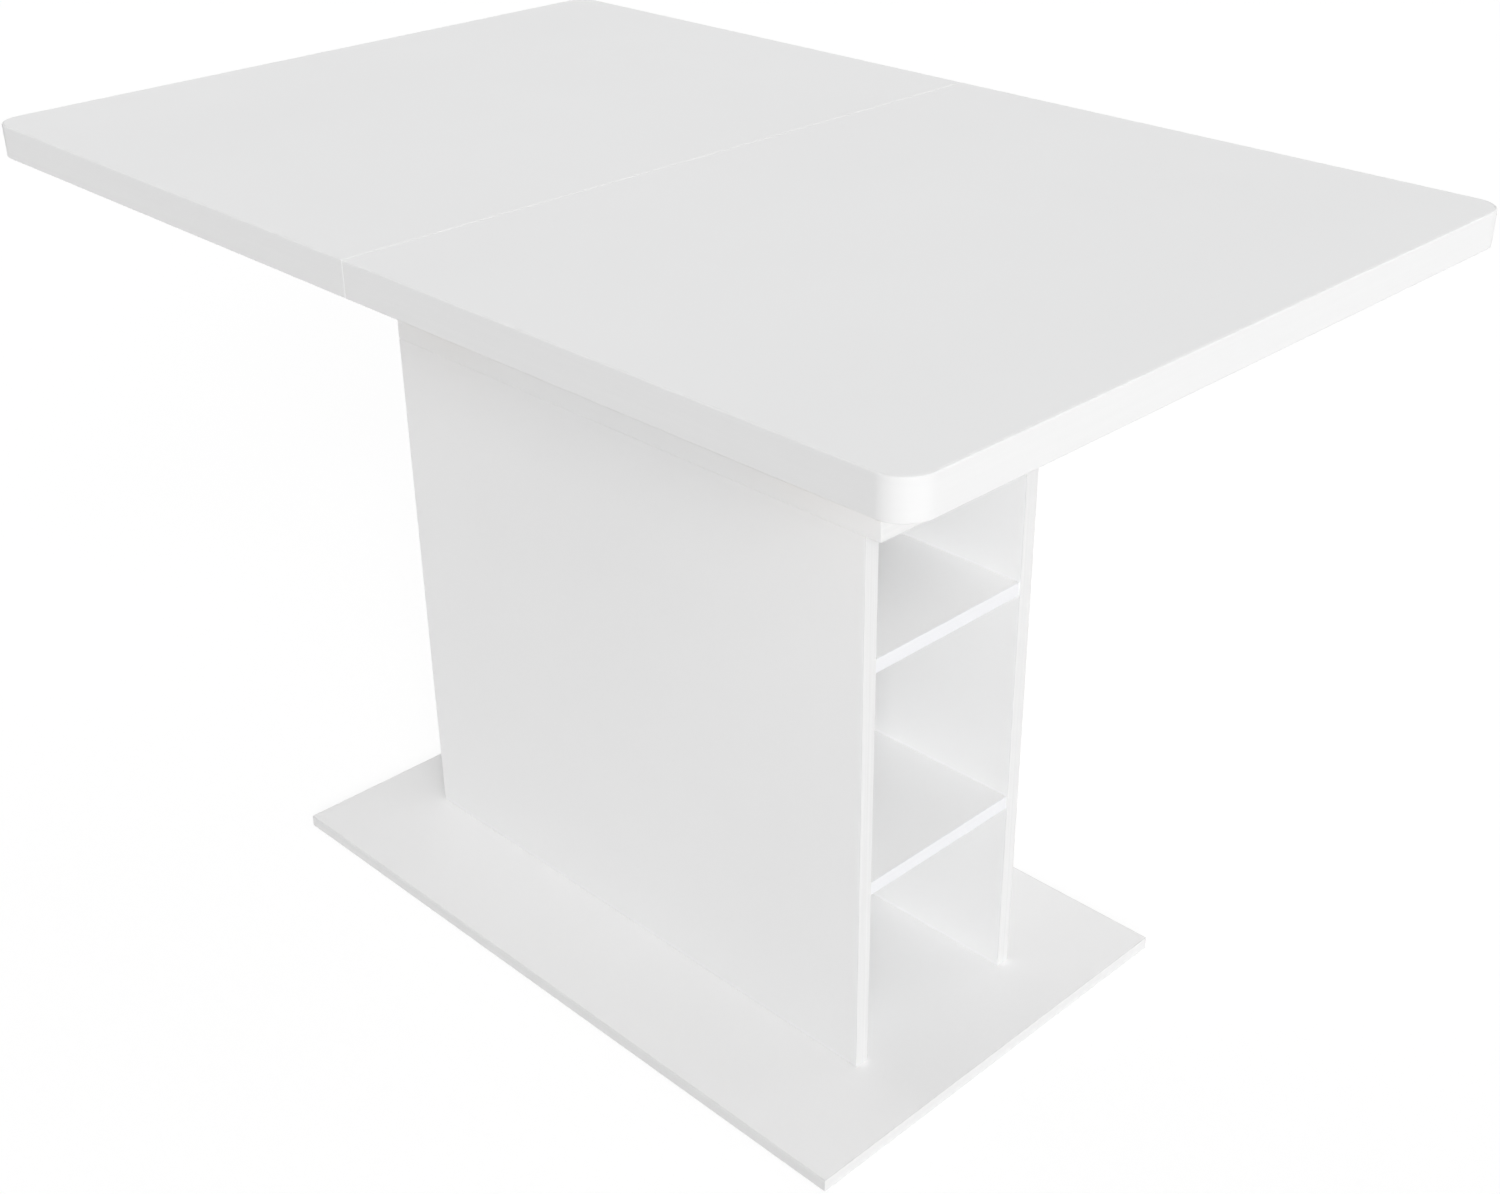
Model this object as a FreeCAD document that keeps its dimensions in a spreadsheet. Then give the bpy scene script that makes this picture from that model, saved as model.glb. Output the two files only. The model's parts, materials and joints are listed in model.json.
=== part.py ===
"""Extending kitchen table on a storage pedestal: a split top on sliding rails over an open shelf cabinet.

Frame: origin on the floor under the centre of the top, +X along the top towards the open end of the
cabinet, +Y across the top, +Z up. Near is -Y, far is +Y, right is +X and left is -X. Millimetres.
"""
import FreeCAD, Part
import Sketcher
import math
import os

doc = FreeCAD.newDocument("KitchenTable")

# Driving dimensions
SIZES = {
    # split top
    "top_length": 1100,
    "top_width": 700,
    "top_thickness": 30,
    "corner_radius": 25,
    "band_thickness": 2,
    "band_edge_radius": 1.2,
    "seam_gap": 0.4,
    "half_travel": 200,
    # foot
    "base_length": 750,
    "base_width": 450,
    "base_thickness": 12,
    "edging_thickness": 1,
    "glide_height": 1.5,
    "glide_radius": 12,
    "glide_inset": 35,
    # cabinet
    "cabinet_length": 600,
    "niche_width": 182,
    "panel_thickness": 15,
    "lower_niche": 179.5,
    "middle_niche": 206,
    "upper_niche": 115.5,
    "shelf_thickness": 13,
    "shelf_setback": 1.5,
    "back_thickness": 12,
    "top_board_thickness": 18,
    "nosing": 15,
    # store under the top for the folded leaf
    "store_height": 161.5,
    "leaf_fold_gap": 2.5,
    "leaf_headroom": 1,
    "leaf_side_room": 5,
    "bearer_width": 30,
    "bearer_length": 200,
    "bearer_spacing": 300,
    "bearer_screw_inset": 40,
    "yoke_thickness": 36,
    "yoke_foot_width": 190,
    "yoke_screw_inset": 32,
    "yoke_width": 350,
    "yoke_shoulder": 70,
    # guide rails and slides
    "rail_spacing": 300,
    "rail_width": 30,
    "rail_height": 32,
    "rail_headroom": 4,
    "rail_overhang": 39,
    "groove_depth": 8,
    "groove_height": 10,
    "slide_width": 24,
    "slide_reach": 330,
    "slide_overlap": 30,
    "slide_side_gap": 0.4,
    "slide_lift": 2,
    "slide_relief": 2,
    "tongue_end_gap": 1,
    "tongue_play": 0.3,
    # synchronising pinion and racks
    "bridge_thickness": 12,
    "bridge_width": 80,
    "tooth_module": 2,
    "tooth_count": 14,
    "pressure_angle": 20,
    "tooth_addendum": 1.6,
    "tooth_dedendum": 2.2,
    "tooth_backlash": 0.3,
    "pinion_width": 14,
    "hub_radius": 9,
    "axle_radius": 4,
    "axle_running_gap": 0.05,
    "axle_flange_radius": 12,
    "axle_flange_thickness": 3,
    "axle_headroom": 3,
    "clip_radius": 7,
    "clip_thickness": 1.2,
    "clip_groove_depth": 1,
    "rest_gap": 0.3,
    "rack_height": 12,
    "rack_drop": 8,
    "rack_backing": 6.3,
    "rack_reach": 130,
    "rack_overlap": 25,
    "rack_block_width": 24,
    "rack_block_inset": 25,
    # leaf hinges
    "hinge_length": 60,
    "hinge_reach": 30,
    "hinge_plate_thickness": 1.2,
    "hinge_knuckle_radius": 2.5,
    "hinge_pin_radius": 1.2,
    "hinge_spacing": 240,
    "hinge_play": 0.2,
    # fasteners
    "screw_head_radius": 4.5,
    "screw_head_height": 3,
    "screw_radius": 2.25,
    "dowel_radius": 4,
    "dowel_length": 30,
    "dowel_panel_depth": 10,
    "shelf_dowel_inset": 97.5,
    "fastener_gap": 0.1,
    "bore_end_gap": 1,
    "cabinet_screw_inset": 30,
    "cabinet_screw_depth": 40,
    "board_screw_depth": 30,
    "panel_screw_depth": 18,
    "pin_radius": 4,
    "pin_depth": 22,
    "pin_reach": 12,
    "pin_gap": 0.3,
    "pin_spacing": 250,
}

sheet = doc.addObject("Spreadsheet::Sheet", "Size")
for row, (alias, value) in enumerate(SIZES.items(), start=1):
    sheet.set(f"A{row}", alias)
    sheet.set(f"B{row}", str(value))
    sheet.setAlias(f"B{row}", alias)
doc.recompute()

nodes = []
SIDES_Y = (("near", -1), ("far", 1))
SIDES_X = (("right", 1), ("left", -1))


def number(expression):
    """The present value of an expression of the sheet."""
    return float(sheet.evalExpression(str(expression)))


# Levels, from the floor up
BASE_TOP = "(Size.glide_height + Size.base_thickness)"
LOWER_SHELF = f"({BASE_TOP} + Size.lower_niche)"
UPPER_SHELF = f"({LOWER_SHELF} + Size.shelf_thickness + Size.middle_niche)"
CABINET_TOP = f"({UPPER_SHELF} + Size.shelf_thickness + Size.upper_niche)"
STORE_FLOOR = f"({CABINET_TOP} + Size.top_board_thickness)"
TOP_UNDER = f"({STORE_FLOOR} + Size.store_height)"
RAIL_TOP = f"({TOP_UNDER} - Size.rail_headroom)"
RAIL_UNDER = f"({RAIL_TOP} - Size.rail_height)"
RAIL_MIDDLE = f"({RAIL_TOP} - Size.rail_height / 2)"
SLIDE_UNDER = f"({RAIL_UNDER} + Size.slide_lift)"
BRIDGE_UNDER = f"({RAIL_UNDER} - Size.bridge_thickness)"
LEAF_TOP = f"({BRIDGE_UNDER} - Size.leaf_headroom)"
LEAF_FOLD = f"({LEAF_TOP} - Size.top_thickness)"
LEAF_LOWER_TOP = f"({LEAF_FOLD} - Size.leaf_fold_gap)"
LEAF_UNDER = f"({LEAF_LOWER_TOP} - Size.top_thickness)"
RACK_TOP = f"({TOP_UNDER} - Size.rack_drop)"
RACK_UNDER = f"({RACK_TOP} - Size.rack_height)"
RACK_MIDDLE = f"({RACK_TOP} - Size.rack_height / 2)"

# Places along and across
HALF_TOP = "(Size.top_length / 2)"
HALF_WIDTH = "(Size.top_width / 2)"
CABINET_END = "(Size.cabinet_length / 2)"
INNER_SIDE = "(Size.niche_width / 2)"
OUTER_SIDE = f"({INNER_SIDE} + Size.panel_thickness)"
PANEL_MIDDLE = f"({INNER_SIDE} + Size.panel_thickness / 2)"
BACK_FACE = f"(Size.shelf_setback + Size.back_thickness - {CABINET_END})"
SHELF_FRONT = f"({CABINET_END} - Size.shelf_setback)"
YOKE_INNER = "(Size.half_travel + Size.leaf_side_room)"
YOKE_OUTER = f"({YOKE_INNER} + Size.yoke_thickness)"
YOKE_MIDDLE = f"({YOKE_INNER} + Size.yoke_thickness / 2)"
RAIL_END = f"({YOKE_OUTER} + Size.rail_overhang)"
RAIL_CENTRE = "(Size.rail_spacing / 2)"
RAIL_OUTER = f"({RAIL_CENTRE} + Size.rail_width / 2)"
YOKE_SIDE = "(Size.yoke_width / 2)"
PITCH_RADIUS = "(Size.tooth_module * Size.tooth_count / 2)"
RACK_TIP = f"({PITCH_RADIUS} - Size.tooth_addendum)"
RACK_BACK = f"({PITCH_RADIUS} + Size.tooth_dedendum + Size.rack_backing)"
RACK_CENTRE = f"(({RACK_TIP} + {RACK_BACK}) / 2)"


def keep(item, label):
    """Give a finished sub-part its label and list it for writing."""
    item.Label = label
    nodes.append(item)
    return item


def board(name, low, high):
    """A rectangular piece between two corners, each three expressions."""
    item = doc.addObject("Part::Box", name)
    for axis, extent in enumerate(("Length", "Width", "Height")):
        item.setExpression(extent, f"({high[axis]}) - ({low[axis]})")
        item.setExpression(f"Placement.Base.{'xyz'[axis]}", f"{low[axis]}")
    return item


def centred(name, x_span, y_span, z_span):
    """A rectangular piece from (middle, half extent) pairs along X and Y and a low and high level."""
    (x, half_x), (y, half_y) = x_span, y_span
    low = (f"{x} - {half_x}", f"{y} - {half_y}", z_span[0])
    high = (f"{x} + {half_x}", f"{y} + {half_y}", z_span[1])
    return board(name, low, high)


def rod(name, start, length, radius, direction="z"):
    """A round piece from its start point along +X, +Y or +Z."""
    item = doc.addObject("Part::Cylinder", name)
    turn = {"x": (0, 1, 0, 90), "y": (1, 0, 0, -90), "z": (0, 0, 1, 0)}[direction]
    item.Placement.Rotation = FreeCAD.Rotation(FreeCAD.Vector(*turn[:3]), turn[3])
    item.setExpression("Radius", radius)
    item.setExpression("Height", length)
    for axis in range(3):
        item.setExpression(f"Placement.Base.{'xyz'[axis]}", f"{start[axis]}")
    return item


def fuse(name, items):
    item = doc.addObject("Part::MultiFuse", name)
    item.Shapes = items
    return item


def group(name, items):
    """Separate solids that share one node."""
    item = doc.addObject("Part::Compound", name)
    item.Links = items
    return item


def cut(name, base, tools):
    item = doc.addObject("Part::Cut", name)
    item.Base = base
    item.Tool = group(f"{name}_bores", tools)
    return item


def screw(name, x, y, seat, depth, upward, access):
    """A pan-head screw along Z and the stepped bore it sits in.

    The head bears on the level called seat, the shank runs depth beyond it, and the bore's wide part is
    open for access beyond the head.
    """
    wide = "(Size.screw_head_radius + Size.fastener_gap)"
    slim = "(Size.screw_radius + Size.fastener_gap)"
    head_low = f"{seat} - Size.screw_head_height" if upward else seat
    shank_low = seat if upward else f"{seat} - ({depth})"
    head = rod(f"{name}_head", (x, y, head_low), "Size.screw_head_height", "Size.screw_head_radius")
    shank = rod(f"{name}_shank", (x, y, shank_low), depth, "Size.screw_radius")
    wide_low = f"{seat} - ({access})" if upward else seat
    slim_low = seat if upward else f"{seat} - ({depth}) - Size.bore_end_gap"
    wide_bore = rod(f"{name}_sink", (x, y, wide_low), access, wide)
    slim_bore = rod(f"{name}_hole", (x, y, slim_low), f"{depth} + Size.bore_end_gap", slim)
    return fuse(name, [head, shank]), fuse(f"{name}_bore", [wide_bore, slim_bore])


def dowel(name, x, side, z):
    """A wooden dowel across a side panel joint and the bore for it in both pieces."""
    start = f"{INNER_SIDE} + Size.dowel_panel_depth - Size.dowel_length"
    if side < 0:
        start = f"-{INNER_SIDE} - Size.dowel_panel_depth"
    peg = rod(name, (x, start, z), "Size.dowel_length", "Size.dowel_radius", "y")
    bore = rod(
        f"{name}_bore",
        (x, f"{start} - Size.bore_end_gap", z),
        "Size.dowel_length + 2 * Size.bore_end_gap",
        "Size.dowel_radius + Size.fastener_gap",
        "y",
    )
    return peg, bore


def outline(body, role, corners):
    """A closed straight-sided sketch on an origin plane, with every corner tied to expressions."""
    sketch = body.newObject("Sketcher::SketchObject", f"{body.Name}_outline")
    plane = [item for item in body.Origin.OriginFeatures if item.Role == role][0]
    sketch.AttachmentSupport = [(plane, "")]
    sketch.MapMode = "FlatFace"
    places = [FreeCAD.Vector(number(across), number(up), 0) for across, up in corners]
    count = len(corners)
    for index in range(count):
        line = Part.LineSegment(places[index], places[(index + 1) % count])
        sketch.addGeometry(line, False)
    for index in range(count):
        sketch.addConstraint(Sketcher.Constraint("Coincident", index, 2, (index + 1) % count, 1))
    for index, corner in enumerate(corners):
        for kind, value, expression in zip(("DistanceX", "DistanceY"), places[index], corner):
            key = sketch.addConstraint(Sketcher.Constraint(kind, index, 1, value))
            sketch.setExpression(f"Constraints[{key}]", expression)
    return sketch


def padded(name, role, corners, thickness):
    """A body padded from an outline, and the pad."""
    body = doc.addObject("PartDesign::Body", name)
    sketch = outline(body, role, corners)
    pad = body.newObject("PartDesign::Pad", f"{name}_pad")
    pad.Profile = sketch
    pad.setExpression("Length", thickness)
    doc.recompute()
    return body, pad


# Foot: plate, edging, glides
def make_foot():
    core_x = "(Size.base_length / 2 - Size.edging_thickness)"
    core_y = "(Size.base_width / 2 - Size.edging_thickness)"
    levels = ("Size.glide_height", BASE_TOP)
    plate = centred("base_board", ("0", core_x), ("0", core_y), levels)
    rim = centred("base_rim", ("0", "Size.base_length / 2"), ("0", "Size.base_width / 2"), levels)
    hollow = centred("base_rim_core", ("0", core_x), ("0", core_y), levels)
    keep(cut("base_edging_ring", rim, [hollow]), "base_edging")
    glides = []
    for column in (-1, 0, 1):
        for row in (-1, 1):
            x = f"{column} * (Size.base_length / 2 - Size.glide_inset)"
            y = f"{row} * (Size.base_width / 2 - Size.glide_inset)"
            glides.append(rod("glide", (x, y, "0"), "Size.glide_height", "Size.glide_radius"))
    keep(group("glide_set", glides), "floor_glides")
    return plate


# Cabinet: panels, back, shelves, top board and what holds them
def make_cabinet(plate):
    screw_x = f"({CABINET_END} - Size.cabinet_screw_inset)"
    base_screws = []
    base_bores = []
    board_screws = []
    board_bores = []
    panel_tools = {"near": [], "far": []}
    for side, way in SIDES_Y:
        y = f"{way} * {PANEL_MIDDLE}"
        for step in (-1, 0, 1):
            x = f"{step} * {screw_x}"
            seat = "Size.glide_height + Size.screw_head_height"
            depth = "Size.base_thickness - Size.screw_head_height + Size.cabinet_screw_depth"
            item, bore = screw("base_screw", x, y, seat, depth, True, "Size.screw_head_height")
            base_screws.append(item)
            base_bores.append(bore)
            panel_tools[side].append(bore)
            seat = f"{STORE_FLOOR} - Size.screw_head_height"
            depth = "Size.top_board_thickness - Size.screw_head_height + Size.cabinet_screw_depth"
            item, bore = screw("top_board_screw", x, y, seat, depth, False, "Size.screw_head_height")
            board_screws.append(item)
            board_bores.append(bore)
            panel_tools[side].append(bore)
    keep(cut("base_plate_bored", plate, base_bores), "base_plate")
    keep(group("base_screw_set", base_screws), "base_screws")
    keep(group("top_board_screw_set", board_screws), "top_board_screws")

    shelf_levels = {"lower_shelf": LOWER_SHELF, "upper_shelf": UPPER_SHELF}
    shelf_tools = {"lower_shelf": [], "upper_shelf": []}
    shelf_pegs = []
    back_pegs = []
    back_tools = []
    back_x = f"({BACK_FACE} - Size.back_thickness / 2)"
    back_levels = [
        f"({BASE_TOP} + Size.lower_niche / 2)",
        f"({UPPER_SHELF} - Size.middle_niche / 2)",
        f"({CABINET_TOP} - Size.upper_niche / 2)",
    ]
    for side, way in SIDES_Y:
        for shelf, level in shelf_levels.items():
            for step in (-1, 0, 1):
                x = f"{step} * ({CABINET_END} - Size.shelf_dowel_inset)"
                peg, bore = dowel("shelf_dowel", x, way, f"{level} + Size.shelf_thickness / 2")
                shelf_pegs.append(peg)
                shelf_tools[shelf].append(bore)
                panel_tools[side].append(bore)
        for level in back_levels:
            peg, bore = dowel("back_dowel", back_x, way, level)
            back_pegs.append(peg)
            back_tools.append(bore)
            panel_tools[side].append(bore)
    keep(group("shelf_dowel_set", shelf_pegs), "shelf_dowels")
    keep(group("back_dowel_set", back_pegs), "back_panel_dowels")

    for side, way in SIDES_Y:
        core_end = f"{CABINET_END} - Size.edging_thickness"
        y_span = (f"{way} * {PANEL_MIDDLE}", "Size.panel_thickness / 2")
        low = (f"-{CABINET_END}", f"{y_span[0]} - {y_span[1]}", BASE_TOP)
        high = (core_end, f"{y_span[0]} + {y_span[1]}", CABINET_TOP)
        panel = board("side_board", low, high)
        keep(cut("side_panel_bored", panel, panel_tools[side]), f"side_panel_{side}")
        low = (core_end, low[1], low[2])
        high = (CABINET_END, high[1], high[2])
        keep(board("panel_edge", low, high), f"panel_edging_{side}")

    low = (f"{BACK_FACE} - Size.back_thickness", f"-{INNER_SIDE}", BASE_TOP)
    back = board("back_board", low, (BACK_FACE, INNER_SIDE, CABINET_TOP))
    keep(cut("back_panel_bored", back, back_tools), "back_panel")

    for shelf, level in shelf_levels.items():
        core_front = f"{SHELF_FRONT} - Size.edging_thickness"
        shelf_top = f"{level} + Size.shelf_thickness"
        base = board("shelf_board", (BACK_FACE, f"-{INNER_SIDE}", level), (core_front, INNER_SIDE, shelf_top))
        keep(cut(f"{shelf}_bored", base, shelf_tools[shelf]), shelf)
        low = (core_front, f"-{INNER_SIDE}", level)
        keep(board("shelf_edge", low, (SHELF_FRONT, INNER_SIDE, shelf_top)), f"{shelf}_edging")
    return board_bores


# Yokes, leaf bearers and guide rails, which stand on the cabinet's top board
def make_store(board_bores):
    yoke_screws = []
    rail_screws = []
    bearer_screws = []
    rail_tools = {"near": [], "far": []}
    board_tools = list(board_bores)
    seat = f"{CABINET_TOP} + Size.screw_head_height"
    depth = "Size.top_board_thickness - Size.screw_head_height + Size.board_screw_depth"
    for hand, lean in SIDES_X:
        tools = []
        x = f"{lean} * {YOKE_MIDDLE}"
        for side, way in SIDES_Y:
            y = f"{way} * (Size.yoke_foot_width / 2 - Size.yoke_screw_inset)"
            item, bore = screw("yoke_screw", x, y, seat, depth, True, "Size.screw_head_height")
            yoke_screws.append(item)
            board_tools.append(bore)
            tools.append(bore)
            rail_seat = f"{RAIL_TOP} - Size.screw_head_height"
            rail_depth = "Size.rail_height - Size.screw_head_height + Size.board_screw_depth"
            y = f"{way} * {RAIL_CENTRE}"
            item, bore = screw("rail_screw", x, y, rail_seat, rail_depth, False, "Size.screw_head_height")
            rail_screws.append(item)
            rail_tools[side].append(bore)
            tools.append(bore)
        corners = [
            ("-Size.yoke_foot_width / 2", STORE_FLOOR),
            ("Size.yoke_foot_width / 2", STORE_FLOOR),
            (YOKE_SIDE, f"{STORE_FLOOR} + Size.yoke_shoulder"),
            (YOKE_SIDE, RAIL_UNDER),
            (f"-{YOKE_SIDE}", RAIL_UNDER),
            (f"-{YOKE_SIDE}", f"{STORE_FLOOR} + Size.yoke_shoulder"),
        ]
        body = padded(f"yoke_board_{hand}", "YZ_Plane", corners, "Size.yoke_thickness")[0]
        body.setExpression("Placement.Base.x", YOKE_INNER if lean > 0 else f"-{YOKE_OUTER}")
        keep(cut(f"yoke_bored_{hand}", body, tools), f"yoke_{hand}")

        tools = []
        x = f"{lean} * Size.bearer_spacing / 2"
        for step in (-1, 1):
            y = f"{step} * (Size.bearer_length / 2 - Size.bearer_screw_inset)"
            item, bore = screw("bearer_screw", x, y, seat, depth, True, "Size.screw_head_height")
            bearer_screws.append(item)
            board_tools.append(bore)
            tools.append(bore)
        y_span = ("0", "Size.bearer_length / 2")
        bearer = centred("bearer", (x, "Size.bearer_width / 2"), y_span, (STORE_FLOOR, LEAF_UNDER))
        keep(cut(f"bearer_bored_{hand}", bearer, tools), f"leaf_bearer_{hand}")
    keep(group("yoke_screw_set", yoke_screws), "yoke_screws")
    keep(group("rail_screw_set", rail_screws), "rail_screws")
    keep(group("bearer_screw_set", bearer_screws), "bearer_screws")

    board_end = f"{CABINET_END} + Size.nosing"
    core_end = f"{board_end} - Size.edging_thickness"
    low = (f"-{CABINET_END}", f"-{OUTER_SIDE}", CABINET_TOP)
    top_board = board("cabinet_top", low, (core_end, OUTER_SIDE, STORE_FLOOR))
    keep(cut("cabinet_top_bored", top_board, board_tools), "cabinet_top_board")
    low = (core_end, f"-{OUTER_SIDE}", CABINET_TOP)
    keep(board("cabinet_top_edge", low, (board_end, OUTER_SIDE, STORE_FLOOR)), "cabinet_top_edging")
    return rail_tools


# Bridge under the rails, with the axle that the pinion turns on
def make_bridge(rail_tools):
    bridge_screws = []
    tools = []
    for side, way in SIDES_Y:
        for step in (-1, 1):
            x = f"{step} * Size.bridge_width / 4"
            seat = f"{BRIDGE_UNDER} + Size.screw_head_height"
            depth = "Size.bridge_thickness - Size.screw_head_height + Size.rail_height / 2"
            y = f"{way} * {RAIL_CENTRE}"
            item, bore = screw("bridge_screw", x, y, seat, depth, True, "Size.screw_head_height")
            bridge_screws.append(item)
            tools.append(bore)
            rail_tools[side].append(bore)
    keep(group("bridge_screw_set", bridge_screws), "bridge_screws")

    spigot_bore = "(Size.axle_radius + Size.fastener_gap)"
    tools.append(rod("axle_hole", ("0", "0", BRIDGE_UNDER), "Size.bridge_thickness", spigot_bore))
    bridge = centred("bridge", ("0", "Size.bridge_width / 2"), ("0", RAIL_OUTER), (BRIDGE_UNDER, RAIL_UNDER))
    keep(cut("bridge_bored", bridge, tools), "pinion_bridge")

    axle_top = f"({TOP_UNDER} - Size.axle_headroom)"
    spindle = rod("spindle", ("0", "0", BRIDGE_UNDER), f"{axle_top} - {BRIDGE_UNDER}", "Size.axle_radius")
    flange = rod("flange", ("0", "0", RAIL_UNDER), "Size.axle_flange_thickness", "Size.axle_flange_radius")
    clip_low = f"({RACK_MIDDLE} + Size.pinion_width / 2 + Size.rest_gap)"
    clip_core = "(Size.axle_radius - Size.clip_groove_depth)"
    groove_ring = rod("groove_ring", ("0", "0", clip_low), "Size.clip_thickness", "2 * Size.axle_radius")
    groove_core = rod("groove_core", ("0", "0", clip_low), "Size.clip_thickness", clip_core)
    groove = cut("clip_groove", groove_ring, [groove_core])
    keep(cut("axle_turned", fuse("axle_blank", [spindle, flange]), [groove]), "pinion_axle")
    ring = rod("clip_disc", ("0", "0", clip_low), "Size.clip_thickness", "Size.clip_radius")
    bore = f"{clip_core} + Size.fastener_gap"
    hole = rod("clip_hole", ("0", "0", clip_low), "Size.clip_thickness", bore)
    keep(cut("clip_ring", ring, [hole]), "axle_clip")


def make_rails(rail_tools):
    for side, way in SIDES_Y:
        centre = f"({way} * {RAIL_CENTRE})"
        half = "Size.rail_width / 2"
        rail = centred("rail", ("0", RAIL_END), (centre, half), (RAIL_UNDER, RAIL_TOP))
        tools = list(rail_tools[side])
        for face in (-1, 1):
            floor = f"({centre} + {face} * (Size.rail_width / 2 - Size.groove_depth / 2))"
            low = f"{RAIL_MIDDLE} - Size.groove_height / 2"
            high = f"{RAIL_MIDDLE} + Size.groove_height / 2"
            tools.append(centred("groove", ("0", RAIL_END), (floor, "Size.groove_depth / 2"), (low, high)))
        keep(cut(f"rail_grooved_{side}", rail, tools), f"guide_rail_{side}")


# Top halves
def half_plate(name, lean, inset, seam_inset="0"):
    """Half of the top with its two outer corners rounded, drawn in from the edge and from the seam."""
    seam = f"{lean} * (Size.seam_gap / 2 + {seam_inset})"
    end = f"{lean} * ({HALF_TOP} - {inset})"
    half = f"({HALF_WIDTH} - {inset})"
    corners = [(seam, f"-{half}"), (end, f"-{half}"), (end, half), (seam, half)]
    body, pad = padded(name, "XY_Plane", corners, "Size.top_thickness")
    outer = abs(number(end))
    uprights = []
    for index, edge in enumerate(pad.Shape.Edges, start=1):
        first, last = edge.Vertexes[0].Point, edge.Vertexes[-1].Point
        if all(math.isclose(abs(point.x), outer) for point in (first, last)):
            if math.isclose(first.y, last.y):
                uprights.append(f"Edge{index}")
    rounding = body.newObject("PartDesign::Fillet", f"{name}_corners")
    rounding.Base = (pad, uprights)
    rounding.setExpression("Radius", f"Size.corner_radius - {inset}")
    body.setExpression("Placement.Base.z", TOP_UNDER)
    return body, rounding


def soften_rim(body, plate, lean):
    """Round the upper and lower edges of a half plate all along its outside, but not at the seam."""
    doc.recompute()
    seam = lean * number("Size.seam_gap / 2")
    rim = []
    for index, edge in enumerate(plate.Shape.Edges, start=1):
        first, last = edge.Vertexes[0].Point, edge.Vertexes[-1].Point
        level = math.isclose(first.z, last.z, abs_tol=1e-6)
        at_seam = all(math.isclose(point.x, seam, abs_tol=1e-6) for point in (first, last))
        if level and not at_seam:
            rim.append(f"Edge{index}")
    softening = body.newObject("PartDesign::Fillet", f"{body.Name}_rim")
    softening.Base = (plate, rim)
    softening.setExpression("Radius", "Size.band_edge_radius")


def make_slides(hand, lean):
    """The two runners of one half, their screws, and the bores for those screws in the top."""
    screws = []
    top_tools = []
    rail_face = "Size.rail_width / 2"
    tail = "(Size.half_travel + Size.slide_overlap)"
    for side, way in SIDES_Y:
        outward = way * lean
        face = f"({way} * {RAIL_CENTRE} + {outward} * ({rail_face} + Size.slide_side_gap))"
        centre = f"({face} + {outward} * Size.slide_width / 2)"
        x_middle = f"{lean} * (Size.slide_reach - {tail}) / 2"
        x_half = f"(Size.slide_reach + {tail}) / 2"
        x_span = (x_middle, x_half)
        stock = centred("slide_stock", x_span, (centre, "Size.slide_width / 2"), (SLIDE_UNDER, TOP_UNDER))
        tongue_depth = "(Size.slide_side_gap + Size.groove_depth - Size.tongue_end_gap)"
        tongue_centre = f"({face} - {outward} * {tongue_depth} / 2)"
        half_tongue = "(Size.groove_height / 2 - Size.tongue_play)"
        tongue_levels = (f"{RAIL_MIDDLE} - {half_tongue}", f"{RAIL_MIDDLE} + {half_tongue}")
        tongue = centred("tongue", x_span, (tongue_centre, f"{tongue_depth} / 2"), tongue_levels)
        relief = centred(
            "slide_relief_cut",
            (f"{lean} * (Size.seam_gap - {tail}) / 2", f"({tail} + Size.seam_gap) / 2"),
            (centre, "Size.slide_width / 2"),
            (f"{TOP_UNDER} - Size.slide_relief", TOP_UNDER),
        )
        tools = [relief]
        for step in (1, 3, 5):
            x = f"{lean} * Size.slide_reach * {step} / 6"
            seat = f"({SLIDE_UNDER} + ({TOP_UNDER} - {SLIDE_UNDER}) / 2)"
            depth = f"{TOP_UNDER} - {seat} + Size.panel_screw_depth"
            access = f"{seat} - {SLIDE_UNDER}"
            item, bore = screw("slide_screw", x, centre, seat, depth, True, access)
            screws.append(item)
            tools.append(bore)
            top_tools.append(bore)
        runner = fuse("runner_stock", [stock, tongue])
        keep(cut(f"slide_cut_{hand}_{side}", runner, tools), f"slide_{hand}_{side}")
    keep(group(f"slide_screw_set_{hand}", screws), f"slide_screws_{hand}")
    return top_tools


def rack_shape():
    """The right half's rack, toothed towards the axle, with a tooth gap over the axle at rest."""
    pitch = math.pi * number("Size.tooth_module")
    lean = math.tan(math.radians(number("Size.pressure_angle")))
    addendum = number("Size.tooth_addendum")
    dedendum = number("Size.tooth_dedendum")
    tip_y = number(RACK_TIP)
    root_y = tip_y + addendum + dedendum
    gap_half = (pitch / 2 + number("Size.tooth_backlash")) / 2
    start_x = -number("Size.half_travel + Size.rack_overlap")
    first = math.ceil(start_x / pitch) + 1
    last = math.floor(number("Size.rack_block_inset") / pitch) - 1
    points = [FreeCAD.Vector(start_x, tip_y, 0)]
    for index in range(first, last + 1):
        middle = index * pitch
        mouth = gap_half + addendum * lean
        floor = gap_half - dedendum * lean
        for offset, y in ((-mouth, tip_y), (-floor, root_y), (floor, root_y), (mouth, tip_y)):
            points.append(FreeCAD.Vector(middle + offset, y, 0))
    reach = number("Size.rack_reach")
    back = number(RACK_BACK)
    for x, y in ((reach, tip_y), (reach, back), (start_x, back)):
        points.append(FreeCAD.Vector(x, y, 0))
    face = Part.Face(Part.makePolygon(points + points[:1]))
    return face.extrude(FreeCAD.Vector(0, 0, number("Size.rack_height")))


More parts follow.
